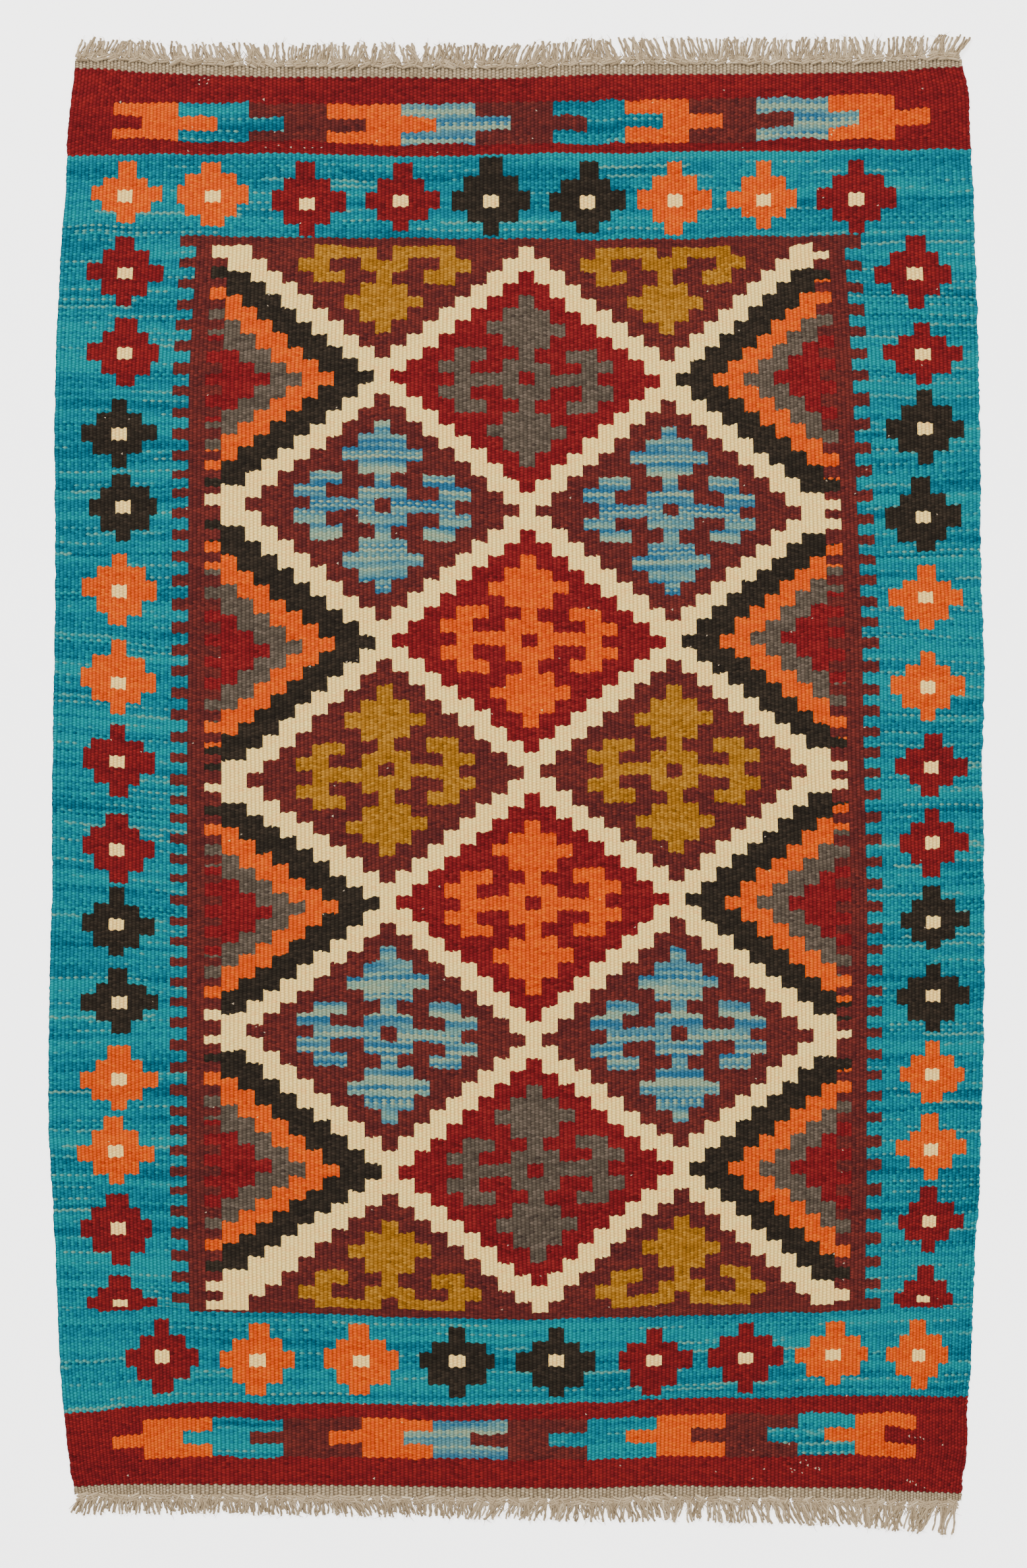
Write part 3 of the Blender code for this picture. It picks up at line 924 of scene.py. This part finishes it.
TUFTS = (4, 5, 6, 7)  # strands from one knot
TUFT_CHANCES = (0.2, 0.35, 0.3, 0.15)
STRAND_RINGS = 8
STRAND_RADIUS = 1.35
RADIUS_STRAY = (-0.18, 0.12)
STRAND_START = 3.0  # beyond the heading
TIP_STRAY = (1.8, 1.7)  # mean and spread, beyond the reach of the fringe
TIP_LIMITS = (-4, 4.2)
TUFT_LEAN = 0.2
STRAND_LEAN = 0.09
SPLAY = 0.05  # more lean from each strand of a tuft to the next
BEND = 0.05
S_BEND = 0.6
STRAND_PITCH = 1.45
STRAND_HEIGHT = 1.45
STRAND_LIFT = 1.5
ROOT_LIFT = 1.2

THIN_RINGS = 5
HAIRS = 500  # at each end
HAIR_CHANCES = np.array((4, 4, 2, 1, 1, 1, 2, 5)) / 20  # for each ring of a strand
HAIR_RADIUS = 0.17
HAIR_REACH = (2.5, 8)
HAIR_AIM = 1.3
HAIR_CURL = 0.9
WISPS = 5  # thin short ends that leave each knot
WISP_RADIUS = 0.55
WISP_REACH = (4, 10)
WISP_LEAN = 0.9
WISP_CURL = 0.6
WISP_ASIDE = 3.5
WISP_START = 3.2  # beyond the heading
WISP_HEIGHT = 0.7
WISP_LIFT = 1.4

TURN_HALF = 5.3  # half the width of a turn of a knot
TURN_PITCH = 1.9
TURN_RADIUS = 1.35
TURN_START = 1.8  # beyond the heading, as also below
SLANTS = (0.1, 0.5)
SLANT_STRAY = 0.1
OVER_ASIDE = 1.2
OVER_HALF = (2.0, 3.2)  # across and along
OVER_RADIUS = 1.1
OVER_START = 2.4
TURN_LOBES = 0.3
TURN_TWIST = 1.1
NECK_SPACING = (3.4, 1.6)  # of a knot's warps, and how much closer they come
NECK_RADIUS = 1.25
NECK_OUT = (-1.2, 4.5)  # where they start, and their length

HEADING_HEIGHT = 2.6
HEADING_RELIEF = 1.4
HEADING_SEED = 400
HEADING_TONES = (0.25, 0.25)  # mean and spread

Tubes = namedtuple("Tubes", "points quads caps tone crown")
Row = namedtuple("Row", "outwards middle edge depth reach size")


def sway(row):
    """The lean that neighbouring strands share, which turns slowly along the fringe."""
    slow, fast = (row.middle / length for length in SWAY_LENGTHS)
    return SWAY * (np.sin(slow + 2 * row.outwards) + np.sin(fast + row.outwards))


def tubes(centres, radius, turn, tone, lobes=PLY_DEPTH, sides=KNOT_SIDES):
    """Tubes round centre lines (tube, ring, 3), with two twisted plies in section."""
    count, rings = centres.shape[:2]
    direction = np.gradient(centres, axis=1)
    direction /= np.linalg.norm(direction, axis=-1, keepdims=True)
    side = np.cross(direction, (0, 0, 1.0))
    side /= np.linalg.norm(side, axis=-1, keepdims=True)
    up = np.cross(side, direction)
    angle = np.linspace(0, 2 * math.pi, sides, endpoint=False)
    lobe = np.cos(angle[None, None] - turn[..., None]) ** 2
    reach = radius[..., None] * (1 - lobes + lobes * lobe)
    points = (
        centres[:, :, None]
        + side[:, :, None] * (np.cos(angle) * reach)[..., None]
        + up[:, :, None] * (np.sin(angle) * reach)[..., None]
    )
    # Painted shade: crown darkens the crease between the two plies.
    crown = 1 - 2 * lobes * (1 - lobe)

    tube, ring, number = grid(np.arange(count), np.arange(rings - 1), np.arange(sides))
    start = (tube * rings + ring) * sides
    after = (number + 1) % sides
    here, beside = start + number, start + after
    quads = np.stack([here, beside, beside + sides, here + sides], -1)
    first = np.arange(count)[:, None] * rings * sides + np.arange(sides)
    caps = np.concatenate([first[:, ::-1], first + (rings - 1) * sides])
    tone = np.repeat(tone, (rings - 1) * sides)
    return Tubes(points.reshape(-1, 3), quads.reshape(-1, 4), caps, tone, crown.ravel())


def tube_object(name, node, sets):
    """One piece of several sets of tubes."""
    starts = np.cumsum([0] + [len(one.points) for one in sets])
    quads = np.concatenate([one.quads + start for one, start in zip(sets, starts)])
    caps = [one.caps + start for one, start in zip(sets, starts)]
    ends = sum(len(c) for c in caps)
    piece = mesh_object(
        name,
        np.concatenate([one.points for one in sets]),
        [quads, *caps],
        [materials[UNDYED]],
        np.zeros(len(quads) + ends, int),
        np.concatenate([np.zeros(len(quads), int), 1 + np.arange(ends)]),
        np.concatenate([one.tone for one in sets] + [np.zeros(ends)]),
        np.concatenate([one.crown for one in sets]),
    )
    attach(piece, "root")
    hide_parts(node)


def knot_row(end, rng):
    """Where the knots of one end sit, and how far the heading and the fringe reach there."""
    start, stop = END_EDGES[0].across + ROW_INSET, END_EDGES[-1].across - ROW_INSET
    pitch = (stop - start) / KNOTS
    middle = start + (np.arange(KNOTS) + 0.5 + rng.uniform(-KNOT_STRAY, KNOT_STRAY, KNOTS)) * pitch
    edge = column_at(END_EDGES, "across", end, middle)
    reach = column_at(REACHES, "across", end, middle)
    size = 1 + rng.uniform(*KNOT_SIZES, KNOTS)
    return Row({"top": 1, "bottom": -1}[end], middle, edge, heading_depth(middle), reach, size)


def lines_from(row, knot, x, out, z):
    """Centre lines from places across, outwards from the panel's edge at a knot, and up."""
    y = row.edge[knot][:, None] + row.outwards * out
    return np.stack([x, y, np.broadcast_to(z, x.shape)], -1)


def phase(rng, count):
    return rng.uniform(0, math.pi, count)[:, None]


def thin_tubes(lines, radius, tone):
    """Single fibres, without plies."""
    count, rings = lines.shape[:2]
    radius = radius * np.ones((count, 1))
    return tubes(lines, radius, np.zeros((count, rings)), tone, lobes=0.0, sides=HAIR_SIDES)


def strands(row, rng):
    """Loose warp ends: a tuft from each knot, cut blunt. Also their centre lines."""
    counts = rng.choice(TUFTS, KNOTS, p=TUFT_CHANCES)
    knot = np.repeat(np.arange(KNOTS), counts)
    order = np.concatenate([np.arange(c) - (c - 1) / 2 for c in counts])
    number = len(knot)
    t = np.linspace(0, 1, STRAND_RINGS)[None]
    start = row.depth[knot] + STRAND_START
    tip = row.reach[knot] + np.clip(rng.normal(*TIP_STRAY, number), *TIP_LIMITS)
    length = (tip - start)[:, None]
    lean = (sway(row) + rng.normal(0, TUFT_LEAN, KNOTS))[knot]
    lean = (lean + order * SPLAY + rng.normal(0, STRAND_LEAN, number))[:, None]
    bend = rng.normal(0, BEND, (2, number, 1)) * length
    x = (row.middle[knot] + order * STRAND_PITCH)[:, None] + lean * t * length
    x = x + bend[0] * np.sin(math.pi * t) + S_BEND * bend[1] * np.sin(2 * math.pi * t)
    lift = rng.uniform(0, STRAND_LIFT, number)[:, None] * np.sin(math.pi * np.minimum(t * 1.1, 1))
    z = STRAND_HEIGHT + lift + ROOT_LIFT * (1 - t) ** 2
    lines = lines_from(row, knot, x, start[:, None] + t * length, z)
    radius = STRAND_RADIUS * (1 + rng.uniform(*RADIUS_STRAY, number))[:, None]
    radius = radius * (1.1 - 0.25 * t + 0.1 * (t > 0.9))
    turn = phase(rng, number) + math.pi * t * length / TWIST
    return tubes(lines, radius, turn, rng.normal(0.05, 0.3, number), sides=STRAND_SIDES), lines


def hairs(row, rng, lines):
    """Stray fibres that stand off the strands."""
    strand = rng.integers(0, len(lines), HAIRS)
    root = lines[strand, rng.choice(STRAND_RINGS, HAIRS, p=HAIR_CHANCES)]
    length = rng.uniform(*HAIR_REACH, HAIRS)[:, None]
    aim = rng.uniform(-HAIR_AIM, HAIR_AIM, HAIRS)[:, None]
    curl = rng.normal(0, HAIR_CURL, HAIRS)[:, None]
    t = np.linspace(0, 1, THIN_RINGS)[None]
    x = root[:, :1] + length * np.sin(aim) * t + curl * np.sin(math.pi * t)
    y = root[:, 1:2] + row.outwards * length * np.cos(aim) * t * 0.8
    z = np.maximum(root[:, 2:] * (1 - 0.5 * t) + 0.8 * np.sin(math.pi * t), 0.3)
    return thin_tubes(np.stack([x, y, z], -1), HAIR_RADIUS * (1.3 - 0.8 * t), np.full(HAIRS, 0.3))


def wisps(row, rng):
    """Thin ends of broken yarn, which fill the foot of the fringe between the strands."""
    knot = np.repeat(np.arange(KNOTS), WISPS)
    number = len(knot)
    t = np.linspace(0, 1, THIN_RINGS)[None]
    lean = (sway(row)[knot] + rng.uniform(-WISP_LEAN, WISP_LEAN, number))[:, None]
    length = rng.uniform(*WISP_REACH, number)[:, None]
    aside = rng.uniform(-WISP_ASIDE, WISP_ASIDE, number)
    x = (row.middle[knot] + aside)[:, None] + lean * t * length
    x = x + rng.normal(0, WISP_CURL, number)[:, None] * np.sin(math.pi * t)
    out = row.depth[knot][:, None] + WISP_START + t * length
    z = WISP_HEIGHT + rng.uniform(0, WISP_LIFT, number)[:, None] * (1 - t * t)
    lines = lines_from(row, knot, x, out, z)
    return thin_tubes(lines, WISP_RADIUS * (1.15 - 0.7 * t), rng.normal(0.1, 0.3, number))


def knots(row, rng):
    """Three slanting turns side by side, one over them, and the warps that enter them."""
    slant = rng.choice((-1, 1), KNOTS) * rng.uniform(*SLANTS, KNOTS)
    knot = np.repeat(np.arange(KNOTS), 3)
    order = np.tile((-1.0, 0.0, 1.0), KNOTS)[:, None]
    size, number = row.size[knot][:, None], len(knot)
    middle, depth = row.middle[knot][:, None], row.depth[knot][:, None]
    t = np.linspace(-1, 1, 7)[None]
    across = t * (TURN_HALF * size * (1 - 0.1 * np.abs(order)))
    out = depth + TURN_START + TURN_PITCH * order * size
    out = out + across * (slant[knot] + rng.normal(0, SLANT_STRAY, number))[:, None]
    z = 1.0 + 1.7 * size * np.sqrt(1 - 0.92 * t**2)
    radius = TURN_RADIUS * size * (1 - 0.3 * t**4)
    turn = phase(rng, number) + TURN_TWIST * t
    lines = lines_from(row, knot, middle + across, out, z)
    turns = tubes(lines, radius, turn, rng.normal(0.3, 0.3, number), TURN_LOBES)

    size = row.size[:, None]
    x = row.middle[:, None] + rng.uniform(-OVER_ASIDE, OVER_ASIDE, KNOTS)[:, None]
    x = x - t * OVER_HALF[0] * np.sign(slant)[:, None]
    out = row.depth[:, None] + OVER_START + t * OVER_HALF[1]
    z = 1.4 + 2.0 * size * np.sqrt(1 - 0.9 * t**2)
    turn = phase(rng, KNOTS) + TURN_TWIST * t
    radius = OVER_RADIUS * size * (1 - 0.2 * t**4)
    lines = lines_from(row, np.arange(KNOTS), x, out, z)
    overs = tubes(lines, radius, turn, rng.normal(0.2, 0.3, KNOTS), TURN_LOBES)

    t = np.linspace(0, 1, 4)[None]
    x = middle + order * (NECK_SPACING[0] - NECK_SPACING[1] * t)
    lines = lines_from(row, knot, x, depth + NECK_OUT[0] + NECK_OUT[1] * t, 1.5 + 0.3 * t)
    turn = phase(rng, number) + t
    necks = tubes(lines, np.full(x.shape, NECK_RADIUS), turn, rng.normal(-0.2, 0.3, number))
    return [turns, overs, necks]


def fringe(end):
    rng = np.random.default_rng(FRINGE_SEEDS[end])
    row = knot_row(end, rng)
    ends, lines = strands(row, rng)
    loose = [ends, hairs(row, rng, lines), wisps(row, rng)]
    tube_object(f"fringe_{end}_strands", "fringe_" + end, loose)
    tube_object(f"fringe_{end}_knots", "fringe_" + end, knots(row, rng))


def heading(end):
    first = {"top": -HEADING_PICKS, "bottom": PICKS}[end]
    cloth = weave(first, first + HEADING_PICKS, chosen, HEADING_HEIGHT, HEADING_RELIEF)
    rng = np.random.default_rng(HEADING_SEED + first)
    tone = rng.normal(*HEADING_TONES, cloth.bead.max() + 1)[cloth.bead]
    piece = cloth_object(f"fringe_{end}_heading", cloth._replace(tone=tone))
    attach(piece, "root")
    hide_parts("fringe_" + end)


for end in ("top", "bottom"):
    heading(end)
    fringe(end)

# ---- stage, light and camera

FLOOR = 6.0  # metres from its middle to a side
GRAIN = (("Scale", 90.0), ("Detail", 4.0))
GRAIN_COLOURS = ((0.3, (0.90, 0.90, 0.895, 1)), (0.7, (0.93, 0.93, 0.925, 1)))
GLOW = {"Emission Color": (1.0, 0.99, 0.98, 1), "Emission Strength": 2.2}
SKY = {"Color": (1.0, 0.99, 0.975, 1), "Strength": 0.85}
SOFTBOXES = (
    # name, place, size, power
    ("key", (-2.6, 4.4, 4.4), 2.2, 600),
    ("fill", (3.6, -1.2, 4.4), 3.2, 160),
)
LENS = 85
SENSOR = 36
PHOTO_HEIGHT = 1360.0  # of floor, from the photo's top to its bottom
PHOTO_MIDDLE = (-3.1, -2.3)

nodes = Nodes("studio_floor")
grain = nodes.add("TexNoise", GRAIN).outputs["Fac"]
colour = nodes.ramp(grain, GRAIN_COLOURS)
nodes.surface({"Base Color": colour, "Roughness": 0.9, "Specular IOR Level": 0.1, **GLOW})
nodes.material.cycles.emission_sampling = "NONE"
mesh = bpy.data.meshes.new("floor")
corners = [(x * FLOOR, y * FLOOR, 0) for x, y in ((-1, -1), (1, -1), (1, 1), (-1, 1))]
mesh.from_pydata(corners, [], [(0, 1, 2, 3)])
mesh.materials.append(nodes.material)
floor = placed("floor", mesh)

world = bpy.data.worlds.new("studio")
bpy.context.scene.world = world
world.use_nodes = True
for key, value in SKY.items():
    world.node_tree.nodes["Background"].inputs[key].default_value = value

for name, location, size, power in SOFTBOXES:
    light = bpy.data.lights.new(name, "AREA")
    light.size = size
    light.energy = power
    softbox = placed(name, light)
    softbox.location = location
    softbox.rotation_euler = Vector(location).to_track_quat("Z", "Y").to_euler()

lens = bpy.data.cameras.new("camera")
lens.lens = LENS
lens.sensor_width = SENSOR
camera = placed("camera", lens)
x, y = (MM * (place + shift) for place, shift in zip(PHOTO_MIDDLE, SHIFT))
camera.location = (x, y, PHOTO_HEIGHT * MM * LENS / SENSOR)
bpy.context.scene.camera = camera
